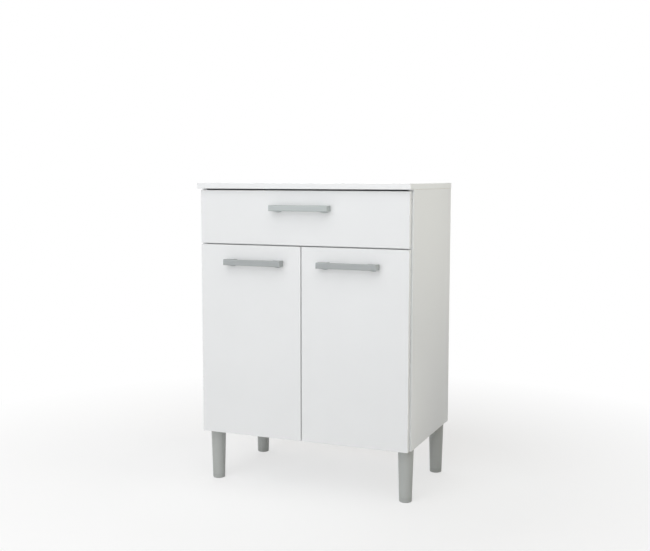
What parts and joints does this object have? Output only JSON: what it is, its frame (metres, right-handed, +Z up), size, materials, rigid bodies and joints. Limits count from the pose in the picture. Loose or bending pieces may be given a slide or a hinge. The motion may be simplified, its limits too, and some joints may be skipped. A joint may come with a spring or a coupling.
{
  "type": "microwave stand with drawer",
  "caption": "White board cabinet on tapered grey legs, with a wide drawer over two hinged doors and a flat top that carries a microwave oven.",
  "frame": {"origin": "bottom centre of the whole stand's box, on the floor, midway between the handles' front and the back", "axes": "+X to the viewer's right along the front, +Y from the front to the back, +Z up"},
  "size_m": [0.6, 0.3944, 0.8252],
  "materials": {
    "white_board": "white melamine-faced particle board, satin, with white banded edges",
    "hardboard": "thin hardboard, raw brown behind",
    "grey_plastic": "grey moulded plastic, satin",
    "zinc_steel": "bright zinc-plated steel",
    "white_steel": "white powder-coated steel sheet",
    "white_plastic": "white nylon",
    "dowel_wood": "beech dowel",
    "clear_stop": "soft clear stop"
  },
  "bodies": {
    "cabinet": {"back_panel": "hardboard", "back_panel_nails": "zinc_steel", "cam_bolts": "zinc_steel", "cam_locks": "zinc_steel", "channel_roller_pins": "zinc_steel", "divider_panel": "white_board", "dowels": "dowel_wood", "floor_panel": "white_board", "foot_glides": "grey_plastic", "hinge_arms": "zinc_steel", "hinge_clamp_screws": "zinc_steel", "hinge_pins": "zinc_steel", "hinge_plate_screws": "zinc_steel", "hinge_plates": "zinc_steel", "leg_back_left": "grey_plastic", "leg_back_right": "grey_plastic", "leg_front_left": "grey_plastic", "leg_front_right": "grey_plastic", "leg_inserts": "zinc_steel", "leg_studs": "zinc_steel", "shelf": "white_board", "shelf_pins": "white_plastic", "side_panel_left": "white_board", "side_panel_right": "white_board", "slide_channel_left": "white_steel", "slide_channel_right": "white_steel", "slide_channel_screws": "zinc_steel", "top_panel": "white_board"},
    "drawer": {"drawer_back": "white_board", "drawer_back_screws": "zinc_steel", "drawer_bottom": "hardboard", "drawer_bumpers": "clear_stop", "drawer_cam_bolts": "zinc_steel", "drawer_cam_locks": "zinc_steel", "drawer_dowels": "dowel_wood", "drawer_front": "white_board", "drawer_handle": "grey_plastic", "drawer_handle_screws": "zinc_steel", "drawer_roller_pins": "zinc_steel", "drawer_runner_left": "white_steel", "drawer_runner_right": "white_steel", "drawer_runner_screws": "zinc_steel", "drawer_side_left": "white_board", "drawer_side_right": "white_board"},
    "left_door": {"left_door": "white_board", "left_door_bumpers": "clear_stop", "left_door_handle": "grey_plastic", "left_handle_screws": "zinc_steel", "left_hinge_cup_screws": "zinc_steel", "left_hinge_cups": "zinc_steel"},
    "right_door": {"right_door": "white_board", "right_door_bumpers": "clear_stop", "right_door_handle": "grey_plastic", "right_handle_screws": "zinc_steel", "right_hinge_cup_screws": "zinc_steel", "right_hinge_cups": "zinc_steel"},
    "left_hinge_levers": {"left_hinge_levers": "zinc_steel"},
    "right_hinge_levers": {"right_hinge_levers": "zinc_steel"},
    "channel_rollers": {"channel_rollers": "white_plastic"},
    "drawer_rollers": {"drawer_rollers": "white_plastic"}
  },
  "joints": [
    {"name": "drawer_slide", "type": "slide", "parent": "cabinet", "child": "drawer", "axis": [0, -1, 0], "range_m": [0, 0.22]},
    {"name": "left_door_hinge", "type": "hinge", "parent": "cabinet", "child": "left_door", "pos_m": [-0.291, -0.165, 0.4], "axis": [0, 0, -1], "range_deg": [0, 100]},
    {"name": "right_door_hinge", "type": "hinge", "parent": "cabinet", "child": "right_door", "pos_m": [0.291, -0.165, 0.4], "axis": [0, 0, 1], "range_deg": [0, 100]},
    {"name": "left_lever_pivot", "type": "hinge", "parent": "cabinet", "child": "left_hinge_levers", "pos_m": [-0.277, -0.158, 0.4], "axis": [0, 0, -1], "range_deg": [0, 90]},
    {"name": "right_lever_pivot", "type": "hinge", "parent": "cabinet", "child": "right_hinge_levers", "pos_m": [0.277, -0.158, 0.4], "axis": [0, 0, 1], "range_deg": [0, 90]},
    {"name": "channel_roller_spin", "type": "hinge", "parent": "cabinet", "child": "channel_rollers", "pos_m": [0, -0.141, 0.6855], "axis": [1, 0, 0], "range_deg": [0, 1262]},
    {"name": "drawer_roller_spin", "type": "hinge", "parent": "drawer", "child": "drawer_rollers", "pos_m": [0, 0.132, 0.6865], "axis": [1, 0, 0], "range_deg": [0, 1147]}
  ],
  "couplings": [
    {"joint": "left_lever_pivot", "follows": "left_door_hinge", "ratio": 0.9},
    {"joint": "right_lever_pivot", "follows": "right_door_hinge", "ratio": 0.9},
    {"joint": "channel_roller_spin", "follows": "drawer_slide", "rad_per_m": 100},
    {"joint": "drawer_roller_spin", "follows": "drawer_slide", "rad_per_m": 90.909}
  ]
}
